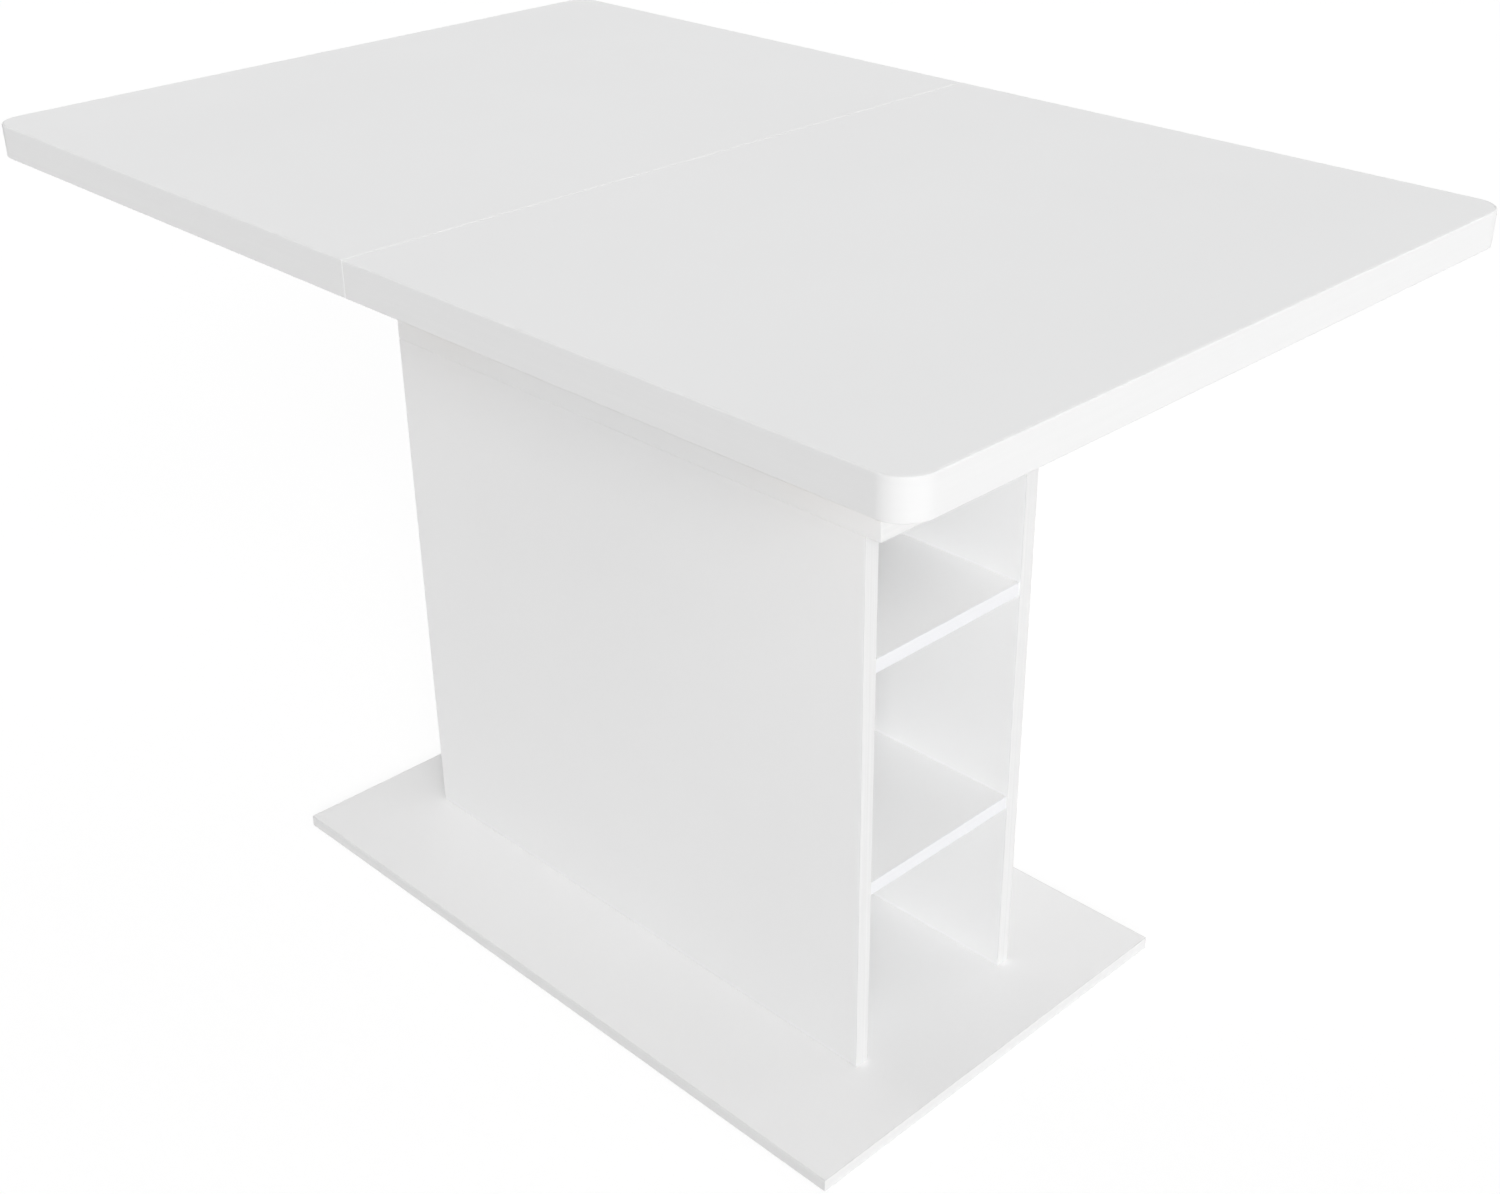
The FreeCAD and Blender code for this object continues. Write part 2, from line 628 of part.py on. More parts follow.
def make_rack(hand, lean):
    """The rack of one half on its spacer block, and the bores for its screws in the top."""
    bar = doc.addObject("Part::Feature", f"rack_bar_{hand}")
    bar.Shape = rack_shape()
    turn = FreeCAD.Rotation(FreeCAD.Vector(0, 0, 1), 0 if lean > 0 else 180)
    bar.Placement = FreeCAD.Placement(FreeCAD.Vector(0, 0, number(RACK_UNDER)), turn)
    screws = []
    tools = []
    span = "(Size.rack_reach - Size.rack_block_inset)"
    for step in (1, 3):
        x = f"{lean} * (Size.rack_block_inset + {span} * {step} / 4)"
        y = f"{lean} * {RACK_CENTRE}"
        depth = "Size.rack_height + Size.rack_drop + Size.panel_screw_depth"
        item, bore = screw("rack_screw", x, y, RACK_UNDER, depth, True, "Size.screw_head_height")
        screws.append(item)
        tools.append(bore)
    keep(cut(f"rack_bored_{hand}", bar, tools), f"rack_{hand}")
    x_span = (f"{lean} * (Size.rack_block_inset + {span} / 2)", f"{span} / 2")
    y_span = (f"{lean} * {RACK_CENTRE}", "Size.rack_block_width / 2")
    block = centred("rack_spacer", x_span, y_span, (RACK_TOP, TOP_UNDER))
    keep(cut(f"rack_block_bored_{hand}", block, tools), f"rack_block_{hand}")
    keep(group(f"rack_screw_set_{hand}", screws), f"rack_screws_{hand}")
    return tools


def make_pins():
    """Alignment pins across the seam: fixed in the left half, free in the right half."""
    middle = f"{TOP_UNDER} + Size.top_thickness / 2"
    pins = []
    tools = {"right": [], "left": []}
    length = "Size.pin_depth + Size.pin_reach"
    for step in (-1, 0, 1):
        y = f"{step} * Size.pin_spacing"
        start = ("-Size.pin_depth", y, middle)
        pins.append(rod("pin", start, length, "Size.pin_radius", "x"))
        start = ("-Size.pin_depth - Size.bore_end_gap", y, middle)
        tight = "Size.pin_radius + Size.fastener_gap"
        tools["left"].append(rod("pin_seat", start, "Size.pin_depth + Size.bore_end_gap", tight, "x"))
        loose = "Size.pin_radius + Size.pin_gap"
        tools["right"].append(
            rod("pin_socket", ("0", y, middle), "Size.pin_reach + Size.bore_end_gap", loose, "x")
        )
    keep(group("pin_set", pins), "alignment_pins")
    return tools


def make_top():
    pin_tools = make_pins()
    for hand, lean in SIDES_X:
        tools = pin_tools[hand] + make_slides(hand, lean) + make_rack(hand, lean)
        core, _ = half_plate(f"top_core_{hand}", lean, "Size.band_thickness", "Size.edging_thickness")
        keep(cut(f"top_panel_bored_{hand}", core, tools), f"top_panel_{hand}")
        blank, plate = half_plate(f"band_blank_{hand}", lean, "0")
        soften_rim(blank, plate, lean)
        hollow, _ = half_plate(f"band_core_{hand}", lean, "Size.band_thickness")
        keep(cut(f"band_ring_{hand}", blank, [hollow]), f"top_band_{hand}")
        x_span = (f"{lean} * (Size.seam_gap + Size.edging_thickness) / 2", "Size.edging_thickness / 2")
        y_span = ("0", f"({HALF_WIDTH} - Size.band_thickness)")
        strip = centred("seam_strip", x_span, y_span, (TOP_UNDER, f"{TOP_UNDER} + Size.top_thickness"))
        keep(cut(f"seam_strip_bored_{hand}", strip, pin_tools[hand]), f"seam_edging_{hand}")


# Pinion
def pinion_shape():
    """An involute spur gear with a hub, bored for the axle, with a tooth pointing along +Y."""
    module = number("Size.tooth_module")
    count = round(number("Size.tooth_count"))
    angle = math.radians(number("Size.pressure_angle"))
    pitch_r = number(PITCH_RADIUS)
    base_r = pitch_r * math.cos(angle)
    tip_r = pitch_r + number("Size.tooth_addendum")
    root_r = pitch_r - number("Size.tooth_dedendum")
    at_pitch = (math.pi * module / 2 - number("Size.tooth_backlash")) / (2 * pitch_r)
    at_base = at_pitch + math.tan(angle) - angle
    flank_steps = 4

    def half_width(radius):
        roll = math.acos(min(1, base_r / radius))
        return at_base - (math.tan(roll) - roll)

    def place(radius, turn):
        return FreeCAD.Vector(radius * math.cos(turn), radius * math.sin(turn), 0)

    flank_start = max(base_r, root_r)
    radii = [flank_start + (tip_r - flank_start) * step / flank_steps for step in range(flank_steps + 1)]
    edges = []
    pitch = 2 * math.pi / count
    for index in range(count):
        middle = math.pi / 2 + index * pitch
        rise = Part.BSplineCurve()
        rise.interpolate([place(radius, middle - half_width(radius)) for radius in radii])
        fall = Part.BSplineCurve()
        fall.interpolate([place(radius, middle + half_width(radius)) for radius in reversed(radii)])
        tip_half = half_width(tip_r)
        foot_half = half_width(flank_start)
        tip = Part.Arc(place(tip_r, middle - tip_half), place(tip_r, middle), place(tip_r, middle + tip_half))
        root_from, root_to = middle + foot_half, middle + pitch - foot_half
        root = Part.Arc(place(root_r, root_from), place(root_r, middle + pitch / 2), place(root_r, root_to))
        if flank_start > root_r:
            start = middle - foot_half
            edges.append(Part.LineSegment(place(root_r, start), place(flank_start, start)).toShape())
        edges += [rise.toShape(), tip.toShape(), fall.toShape()]
        if flank_start > root_r:
            edges.append(Part.LineSegment(place(flank_start, root_from), place(root_r, root_from)).toShape())
        edges.append(root.toShape())
    face = Part.Face(Part.Wire(edges))
    teeth = face.extrude(FreeCAD.Vector(0, 0, number("Size.pinion_width")))
    teeth.translate(FreeCAD.Vector(0, 0, number(f"{RACK_MIDDLE} - Size.pinion_width / 2")))
    hub_low = number(f"{RAIL_UNDER} + Size.axle_flange_thickness + Size.rest_gap")
    hub_high = number(RACK_MIDDLE)
    hub = Part.makeCylinder(number("Size.hub_radius"), hub_high - hub_low, FreeCAD.Vector(0, 0, hub_low))
    bore_r = number("Size.axle_radius + Size.axle_running_gap")
    bore = Part.makeCylinder(bore_r, number("Size.store_height"), FreeCAD.Vector(0, 0, number(STORE_FLOOR)))
    return teeth.fuse(hub).cut(bore).removeSplitter()


def make_pinion():
    pinion = doc.addObject("Part::Feature", "pinion")
    pinion.Shape = pinion_shape()
    keep(pinion, "sync_pinion")


# Folded insert leaf
def make_leaf():
    half_length = "Size.half_travel"
    half_fold = "(Size.top_width / 4)"
    banded = f"{half_fold} - Size.band_thickness"
    bands = []
    for name, low, high in (
        ("leaf_board_lower", LEAF_UNDER, LEAF_LOWER_TOP),
        ("leaf_board_upper", LEAF_FOLD, LEAF_TOP),
    ):
        start = (f"-{half_length}", f"-({banded})", low)
        keep(board("leaf_half", start, (half_length, half_fold, high)), name)
        start = (f"-{half_length}", f"-{half_fold}", low)
        bands.append(board("leaf_band", start, (half_length, f"-({banded})", high)))
    keep(group("leaf_band_set", bands), "leaf_bands")

    fold_z = f"({LEAF_LOWER_TOP} + Size.leaf_fold_gap / 2)"
    axis_y = f"({half_fold} + Size.hinge_play + Size.hinge_knuckle_radius)"
    plates = {"lower": [], "upper": []}
    pins = []
    third = "Size.hinge_length / 3"
    for step in (-1, 1):
        middle = f"({step} * Size.hinge_spacing / 2)"
        start_x = f"({middle} - Size.hinge_length / 2)"
        start = (start_x, axis_y, fold_z)
        pins.append(rod("hinge_pin", start, "Size.hinge_length", "Size.hinge_pin_radius", "x"))
        bore_r = "Size.hinge_pin_radius + Size.fastener_gap"
        bore = rod("hinge_bore", start, "Size.hinge_length", bore_r, "x")
        for name, shares in (("lower", (0, 2)), ("upper", (1,))):
            low = LEAF_LOWER_TOP if name == "lower" else f"{LEAF_FOLD} - Size.hinge_plate_thickness"
            high = f"{low} + Size.hinge_plate_thickness"
            flat_low = (start_x, f"{half_fold} - Size.hinge_reach", low)
            flat_high = (f"{start_x} + Size.hinge_length", half_fold, high)
            pieces = [board("hinge_flat", flat_low, flat_high)]
            for share in shares:
                room = "Size.hinge_play / 2"
                knuckle_x = f"{start_x} + {third} * {share} + {room}"
                knuckle_length = f"{third} - 2 * {room}"
                tab_low = (knuckle_x, f"{half_fold} - {room}", low)
                tab_high = (f"{knuckle_x} + {knuckle_length}", axis_y, high)
                pieces.append(board("hinge_tab", tab_low, tab_high))
                knuckle = (knuckle_x, axis_y, fold_z)
                pieces.append(rod("knuckle", knuckle, knuckle_length, "Size.hinge_knuckle_radius", "x"))
            plates[name].append(cut(f"hinge_{name}", fuse("hinge_blank", pieces), [bore]))
    for name in ("lower", "upper"):
        keep(group(f"hinge_plate_set_{name}", plates[name]), f"leaf_hinge_plates_{name}")
    keep(group("hinge_pin_set", pins), "leaf_hinge_pins")


base_board = make_foot()
rail_bores = make_store(make_cabinet(base_board))
make_bridge(rail_bores)
make_rails(rail_bores)
make_top()
make_pinion()
make_leaf()
doc.recompute()

# Every object is sound, and every cut took something away, before anything is written
for item in doc.Objects:
    if "Invalid" in item.State or "Error" in item.State:
        raise RuntimeError(f"{item.Label} failed: {item.State}")
    if item.TypeId == "Part::Cut" and item.Shape.Volume >= item.Base.Shape.Volume:
        raise RuntimeError(f"{item.Label} has bores that miss it")
os.makedirs("parts", exist_ok=True)
for item in nodes:
    if item.Shape.isNull() or not item.Shape.isValid():
        raise RuntimeError(f"{item.Label} has no sound shape")
for item in nodes:
    item.Shape.exportStep(f"parts/{item.Label}.step")
print(len(nodes), "sub-parts written")
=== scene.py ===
"""Looks of the extending kitchen table: eased boards, wrapped bands, screws and finishes."""
import json
import math

import bmesh
import bpy
from mathutils import Matrix, Vector


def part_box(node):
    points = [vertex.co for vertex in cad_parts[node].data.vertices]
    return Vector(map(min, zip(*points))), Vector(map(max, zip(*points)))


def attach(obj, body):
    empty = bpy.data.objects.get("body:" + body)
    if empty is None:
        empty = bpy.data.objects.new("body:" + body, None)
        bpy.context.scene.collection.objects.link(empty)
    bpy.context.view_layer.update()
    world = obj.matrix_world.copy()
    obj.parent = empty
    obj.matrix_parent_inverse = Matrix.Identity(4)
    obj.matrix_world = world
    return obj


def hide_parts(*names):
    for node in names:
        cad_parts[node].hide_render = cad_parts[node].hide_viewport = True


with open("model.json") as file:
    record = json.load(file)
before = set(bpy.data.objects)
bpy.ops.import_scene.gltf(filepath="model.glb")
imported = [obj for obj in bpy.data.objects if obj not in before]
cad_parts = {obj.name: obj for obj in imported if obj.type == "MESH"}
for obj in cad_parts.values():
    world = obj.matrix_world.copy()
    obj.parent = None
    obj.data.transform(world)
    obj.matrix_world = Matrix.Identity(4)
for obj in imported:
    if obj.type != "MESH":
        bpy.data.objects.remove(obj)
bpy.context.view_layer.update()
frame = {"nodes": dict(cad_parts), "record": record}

MM = 0.001
FULL_TURN = 2 * math.pi
HALF_TURN = math.pi
QUARTER_TURN = math.radians(90)

# View of the photograph: focal length and width in pixels, place in metres, turns in degrees
IMAGE_WIDTH = 1500
FOCAL_PIXELS = 1999.8
SENSOR_WIDTH = 36
CAMERA_PLACE = (1.20915, -1.11676, 1.22966)
CAMERA_TILT = 61.392
CAMERA_ROLL = 0.627
CAMERA_HEADING = 45.375

# Light: strength of the sky, and each lamp's heading, height and spread in degrees and strength
SKY_STRENGTH = 0.035
DIFFUSE_BOUNCES = 12
LAMPS = {
    "key": (-46, 18, 14, 0.98),
    "fill": (-34, 24, 12, 0.72),
    "side": (-21, 31, 28, 0.74),
    "overhead": (0, 90, 60, 0.47),
    "right_back": (40, 40, 60, 0.5),
    "back": (90, 40, 60, 0.53),
    "left_back": (180, 45, 60, 0.65),
}
WHITE = (1, 1, 1, 1)

# Floor: half its side in metres, its colour, the share of it that shows shade, and its light
FLOOR_HALF = 12
FLOOR_COLOUR = (0.92, 0.92, 0.92, 1)
FLOOR_SHADE_SHARE = 0.15
FLOOR_LIT = 0.82

# Reflection at right angles, where 0.5 is a refraction of 1.5
BOARD_GLOSS = 0.08
EDGING_GLOSS = 0.15
BEECH_GLOSS = 0.15
NYLON_GLOSS = 0.2
PLAIN_GLOSS = 0.5

# White of the boards: its tone, the foot's tone (lighter, as painted light for the shade of the top
# over the foot), how far clouds and pearl grain leave it, and blue over green over red
BOARD_TONE = 0.902
FOOT_TONE_PAINTED_LIGHT = 0.93
CLOUD_SHADE = 0.007
PEARL_SHADE = 0.06
WHITE_COOL = 0.001

# Colours of the other materials
BEECH_DULL = (0.69, 0.525, 0.36)
BEECH_BRIGHT = (0.76, 0.595, 0.42)
BEECH_LINE = (0.59, 0.42, 0.265)
BEECH_THREAD = (0.5, 0.34, 0.205)
BEECH_FLECK = (0.34, 0.2, 0.11)
ZINC_COLD = (0.62, 0.645, 0.68)
ZINC_WARM = (0.72, 0.70, 0.66)
NYLON_DULL = (0.68, 0.65, 0.57)
NYLON_BRIGHT = (0.76, 0.735, 0.665)
GLIDE_DARK = (0.022, 0.022, 0.024)
GLIDE_SCUFFED = (0.06, 0.06, 0.062)

# Scale of a texture along each axis, low along the run of its lines and high across it
LEVEL_RUN = (5, 5, 400)
UPRIGHT_RUN = (420, 420, 4)
CROSS_RUN = (420, 4, 420)
BEECH_LENGTHWISE = (5, 130, 130)
BEECH_ACROSS = (130, 5, 130)
SCUFF_RUN = (60, 300, 60)

# Range that holds nearly all values of a noise
NOISE_SPAN = (0.3, 0.7)

# Edges of the pieces
WELD = 0.001 * MM
SHARP = math.radians(40)
FLAT = math.radians(0.5)
BORE_FACET = 0.75 * MM
BOARD_EASE = 0.2 * MM
JOINT_EASE = 0.5 * MM
EDGING_EASE = 0.35 * MM
SEAM_EASE = 0.12 * MM
WOOD_EASE = 0.8 * MM
EASE_STEPS = 3
ROUND_PROFILE = 0.5

# Wrapped band of the top
TOP_CORNER = 25 * MM
BAND_THICKNESS = 2 * MM
BAND_ROUND = 1.2 * MM
BAND_JOINT = 0.15 * MM
SEAM_ROUND = 0.4 * MM
BAND_ROUND_STEPS = 5
CORNER_STEPS = 24

# Screws: a crest takes up a share of the pitch, and a recess rises by a share towards its ends
SCREW_ROOT = 1.6 * MM
SCREW_PITCH = 2.2 * MM
SCREW_TIP = 5 * MM
SCREW_POINT = 0.2 * MM
CREST_SHARE = 0.5
THREAD_STEPS = 4
HEAD_POWER = 2.6
HEAD_RINGS = 14
HEAD_STEPS = 48
HEAD_SHARE = 0.9
RECESS_DEPTH = 1.7 * MM
RECESS_REACH = 2.5 * MM
RECESS_HALF = 0.55 * MM
RECESS_WALL = 0.22 * MM
RECESS_RISE = 0.6

# Dowels and glides
DOWEL_FLUTES = 18
DOWEL_FLUTE_DEPTH = 0.25 * MM
DOWEL_CHAMFER = 1 * MM
GLIDE_ROUND = 0.8 * MM
GLIDE_ROUND_STEPS = 5
GLIDE_STEPS = 48

# Decimals of a metre by which the solids of a node are put in order
ORDER_DECIMALS = 4

record = frame["record"]
body_of = {node: body for body, nodes in record["behaviour"]["bodies"].items() for node in nodes}


# Node trees
def node(tree, kind, inputs=None, **settings):
    """A node with its settings, whose inputs are values or other nodes' outputs."""
    item = tree.nodes.new(kind)
    for key, value in settings.items():
        setattr(item, key, value)
    for key, value in (inputs or {}).items():
        if isinstance(value, bpy.types.NodeSocket):
            tree.links.new(value, item.inputs[key])
        else:
            item.inputs[key].default_value = value
    return item


def new_material(name):
    """A material, its tree, its shader and the coordinates that move with the piece, in metres."""
    material = bpy.data.materials.new(name)
    material.use_nodes = True
    tree = material.node_tree
    place = node(tree, "ShaderNodeTexCoord").outputs["Object"]
    return material, tree, tree.nodes["Principled BSDF"], place


def stretched(tree, place, run):
    """Coordinates multiplied axis by axis, so that a texture runs along an axis."""
    product = node(tree, "ShaderNodeVectorMath", {0: place, 1: run}, operation="MULTIPLY")
    return product.outputs["Vector"]


def noise(tree, place, scale=1, detail=2, roughness=0.5):
    """A soft random pattern, finer with its scale and richer with its detail."""
    inputs = {"Vector": place, "Scale": scale, "Detail": detail, "Roughness": roughness}
    return node(tree, "ShaderNodeTexNoise", inputs).outputs["Fac"]


def between(tree, value, target, source=NOISE_SPAN):
    """A value carried from a source range to a target range, held at its ends."""
    inputs = {
        "Value": value,
        "From Min": source[0],
        "From Max": source[1],
        "To Min": target[0],
        "To Max": target[1],
    }
    return node(tree, "ShaderNodeMapRange", inputs).outputs["Result"]


def tint(tree, factor, first, second):
    """A colour between two, by a factor."""
    item = node(tree, "ShaderNodeMix", data_type="RGBA")
    colour_inputs = [socket for socket in item.inputs if socket.type == "RGBA"]
    tree.links.new(factor, item.inputs[0])
    for socket, colour in zip(colour_inputs, (first, second)):
        if isinstance(colour, bpy.types.NodeSocket):
            tree.links.new(colour, socket)
        else:
            socket.default_value = (*colour, 1)
    return [socket for socket in item.outputs if socket.type == "RGBA"][0]


def relief(tree, height, depth, below=None):
    """A bump of a depth in metres, over another one where given."""
    inputs = {"Height": height, "Distance": depth, "Strength": 1}
    if below:
        inputs["Normal"] = below
    return node(tree, "ShaderNodeBump", inputs).outputs["Normal"]


def finish(tree, shader, colour, roughness, normal, gloss=PLAIN_GLOSS):
    """Give a shader its colour, roughness and relief, and its gloss at right angles."""
    tree.links.new(colour, shader.inputs["Base Color"])
    tree.links.new(roughness, shader.inputs["Roughness"])
    tree.links.new(normal, shader.inputs["Normal"])
    shader.inputs["Specular IOR Level"].default_value = gloss


# Materials
def melamine(name, tone):
    """Soft matt white melamine: faint clouds in its tone, a fine pearl grain and a slow ripple."""
    material, tree, shader, place = new_material(name)
    cloud = noise(tree, place, scale=3, detail=3)
    patch = noise(tree, place, scale=14, detail=4)
    grain = noise(tree, place, scale=900, detail=2)
    ripple = noise(tree, place, scale=45, detail=1)
    shades = (tone - CLOUD_SHADE, tone + CLOUD_SHADE, tone - PEARL_SHADE)
    dull, bright, pearl = [(shade - WHITE_COOL, shade, shade + WHITE_COOL) for shade in shades]
    clouds = between(tree, cloud, target=(0, 1))
    pearls = between(tree, grain, target=(0, 0.35), source=(0.62, 0.8))
    colour = tint(tree, pearls, tint(tree, clouds, dull, bright), pearl)
    roughness = between(tree, patch, target=(0.74, 0.84))
    waves = relief(tree, ripple, depth=0.05 * MM)
    normal = relief(tree, grain, depth=0.02 * MM, below=waves)
    finish(tree, shader, colour, roughness, normal, BOARD_GLOSS)
    return material


def edging(name, run, tone, lines, blue=0):
    """White plastic edging in fine lines along its run, neutral or a shade bluer than the boards, at
    a tone given piece by piece below the boards' as painted shade.
    """
    material, tree, shader, place = new_material(name)
    streak = noise(tree, stretched(tree, place, run), detail=3, roughness=0.6)
    patch = noise(tree, place, scale=18, detail=3)
    grain = noise(tree, place, scale=1100, detail=1)
    dull = (tone - blue, tone - blue / 2, tone + blue)
    bright = [part + lines for part in dull]
    colour = tint(tree, between(tree, streak, target=(0, 1)), dull, bright)
    roughness = between(tree, patch, target=(0.52, 0.62))
    drawn = relief(tree, streak, depth=0.015 * MM)
    normal = relief(tree, grain, depth=0.01 * MM, below=drawn)
    finish(tree, shader, colour, roughness, normal, EDGING_GLOSS)
    return material


def beech(name, run):
    """Matt oiled beech with growth lines and short dark flecks along its run."""
    material, tree, shader, place = new_material(name)
    along = stretched(tree, place, run)
    figure = noise(tree, along, detail=4, roughness=0.55)
    fine = noise(tree, along, scale=5, detail=3, roughness=0.6)
    fleck = noise(tree, along, scale=14, detail=1)
    patch = noise(tree, place, scale=8, detail=2)
    patches = between(tree, patch, target=(0, 1))
    lines = between(tree, figure, target=(0, 0.75), source=(0.4, 0.62))
    threads = between(tree, fine, target=(0, 0.35), source=(0.5, 0.7))
    flecks = between(tree, fleck, target=(0, 0.7), source=(0.66, 0.74))
    pale = tint(tree, patches, BEECH_DULL, BEECH_BRIGHT)
    lined = tint(tree, lines, pale, BEECH_LINE)
    threaded = tint(tree, threads, lined, BEECH_THREAD)
    colour = tint(tree, flecks, threaded, BEECH_FLECK)
    roughness = between(tree, fine, target=(0.68, 0.8))
    ridges = relief(tree, fine, depth=0.04 * MM)
    normal = relief(tree, fleck, depth=-0.04 * MM, below=ridges)
    finish(tree, shader, colour, roughness, normal, BEECH_GLOSS)
    return material


def zinc():
    """Zinc-plated steel with faint passivation tints and a fine rolled grain."""
    material, tree, shader, place = new_material("zinc_plated_steel")
    film = noise(tree, place, scale=160, detail=3)
    grain = noise(tree, place, scale=2600, detail=2)
    tints = between(tree, film, target=(0, 1), source=(0.35, 0.65))
    colour = tint(tree, tints, ZINC_COLD, ZINC_WARM)
    roughness = between(tree, grain, target=(0.30, 0.44))
    finish(tree, shader, colour, roughness, relief(tree, grain, depth=0.008 * MM))
    shader.inputs["Metallic"].default_value = 1
    return material


def nylon():
    """Natural nylon: milky, faintly mottled, with a soft moulded surface."""
    material, tree, shader, place = new_material("natural_nylon")
    mottle = noise(tree, place, scale=120, detail=3)
    skin_grain = noise(tree, place, scale=1500, detail=2)
    colour = tint(tree, between(tree, mottle, target=(0, 1)), NYLON_DULL, NYLON_BRIGHT)
    roughness = between(tree, mottle, target=(0.6, 0.7))
    moulded = relief(tree, skin_grain, depth=0.02 * MM)
    finish(tree, shader, colour, roughness, moulded, NYLON_GLOSS)
    shader.inputs["Subsurface Weight"].default_value = 0.2
    shader.inputs["Subsurface Scale"].default_value = 2 * MM
    return material


def glide_plastic():
    """Dark grey moulded plastic with a stippled skin, scuffed paler where it slides."""
    material, tree, shader, place = new_material("dark_glide_plastic")
    scuff = noise(tree, stretched(tree, place, SCUFF_RUN), detail=4)
    stipple = noise(tree, place, scale=1300, detail=2)
    scuffs = between(tree, scuff, target=(0, 1), source=(0.5, 0.75))
    colour = tint(tree, scuffs, GLIDE_DARK, GLIDE_SCUFFED)
    roughness = between(tree, scuff, target=(0.45, 0.65), source=(0.35, 0.7))
    finish(tree, shader, colour, roughness, relief(tree, stipple, depth=0.04 * MM))
    return material


# Mesh pieces
def quarter(steps):
    """Angles from zero to a quarter turn in even steps."""
    return [QUARTER_TURN * step / steps for step in range(steps + 1)]


def ring(radius, level, steps):
    """A circle of points about +Z."""
    turns = [FULL_TURN * step / steps for step in range(steps)]
    return [Vector((radius * math.cos(turn), radius * math.sin(turn), level)) for turn in turns]


def skin(shape, loops, matrix=None):
    """A closed skin over loops of points in order, with a face over each end."""
    rows = []
    for loop in loops:
        points = [matrix @ point for point in loop] if matrix else loop
        rows.append([shape.verts.new(point) for point in points])
    count = len(rows[0])
    for row, after in zip(rows, rows[1:]):
        for index in range(count):
            nearby = (index + 1) % count
            shape.faces.new((row[index], row[nearby], after[nearby], after[index]))
    shape.faces.new(rows[0])
    shape.faces.new(rows[-1])


def welded(name):
    """A frame node's mesh with its split corners joined."""
    shape = bmesh.new()
    shape.from_mesh(frame["nodes"][name].data)
    bmesh.ops.remove_doubles(shape, verts=shape.verts, dist=WELD)
    return shape


def stand_in(name, shape, material):
    """Turn a shape into the piece that stands for a frame node."""
    bmesh.ops.recalc_face_normals(shape, faces=shape.faces)
    mesh = bpy.data.meshes.new(f"{name}_finished")
    shape.to_mesh(mesh)
    shape.free()
    for layer in ("custom_normal", "sharp_face", "sharp_edge"):
        if layer in mesh.attributes:
            mesh.attributes.remove(mesh.attributes[layer])
    mesh.shade_smooth()
    mesh.set_sharp_from_angle(angle=SHARP)
    mesh.materials.clear()
    mesh.materials.append(material)
    piece = bpy.data.objects.new(f"{name}_finished", mesh)
    bpy.context.scene.collection.objects.link(piece)
    shading = piece.modifiers.new("even_shading", "WEIGHTED_NORMAL")
    shading.keep_sharp = True
    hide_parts(name)
    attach(piece, body_of[name])


def ease(name, radius, material):
    """A frame node with its long sharp edges rounded."""
    shape = welded(name)
    bmesh.ops.dissolve_limit(shape, angle_limit=FLAT, verts=shape.verts, edges=shape.edges)
    sharp = [
        edge
        for edge in shape.edges
        if edge.calc_face_angle() > SHARP and edge.calc_length() > BORE_FACET
    ]
    bmesh.ops.bevel(
        shape,
        geom=sharp,
        offset=radius,
        offset_type="OFFSET",
        segments=EASE_STEPS,
        profile=ROUND_PROFILE,
        affect="EDGES",
        clamp_overlap=True,
    )
    stand_in(name, shape, material)


def mean_place(points):
    """Mean of a list of points, rounded so that solids always come in the same order."""
    mean = sum(points, Vector()) / len(points)
    return tuple(round(value, ORDER_DECIMALS) for value in mean)


def islands(name):
    """The separate solids of a frame node, each as a list of its points."""
    shape = welded(name)
    waiting = set(shape.verts)
    groups = []
    while waiting:
        reached = [waiting.pop()]
        for vertex in reached:
            for edge in vertex.link_edges:
                other = edge.other_vert(vertex)
                if other in waiting:
                    waiting.remove(other)
                    reached.append(other)
        groups.append([vertex.co.copy() for vertex in reached])
    shape.free()
    groups.sort(key=mean_place)
    return groups


def corners(points):
    """Lowest and highest corner of a list of points."""
    low = Vector(min(point[axis] for point in points) for axis in range(3))
    high = Vector(max(point[axis] for point in points) for axis in range(3))
    return low, high


def band_section(height):
    """Depth and height of the wrapped band's outline, round outside and eased at the joint."""
    section = []
    for turn in quarter(BAND_ROUND_STEPS):
        section.append((BAND_ROUND * (1 - math.sin(turn)), BAND_ROUND * (1 - math.cos(turn))))
    outside = section + [(depth, height - level) for depth, level in reversed(section)]
    inside = [
        (BAND_THICKNESS - BAND_JOINT, height),
        (BAND_THICKNESS, height - BAND_JOINT),
        (BAND_THICKNESS, BAND_JOINT),
        (BAND_THICKNESS - BAND_JOINT, 0),
    ]
    return outside + inside


def band_path(low, high, lean):
    """Places round one half of the top from seam to seam, each with its outward way and inset."""
    seam_x, end_x = (low.x, high.x) if lean > 0 else (high.x, low.x)
    seam_rounds = []
    for turn in quarter(EASE_STEPS):
        along = lean * SEAM_ROUND * (1 - math.cos(turn))
        inset = SEAM_ROUND * (1 - math.sin(turn))
        seam_rounds.append((seam_x + along, inset))
    path = [(Vector((x, low.y)), Vector((0, -1)), inset) for x, inset in seam_rounds]
    for side in (-1, 1):
        middle = Vector((end_x - lean * TOP_CORNER, side * (high.y - TOP_CORNER)))
        turns = quarter(CORNER_STEPS)
        for turn in turns if side < 0 else reversed(turns):
            outward = Vector((lean * math.sin(turn), side * math.cos(turn)))
            path.append((middle + TOP_CORNER * outward, outward, 0))
    path += [(Vector((x, high.y)), Vector((0, 1)), inset) for x, inset in reversed(seam_rounds)]
    return path


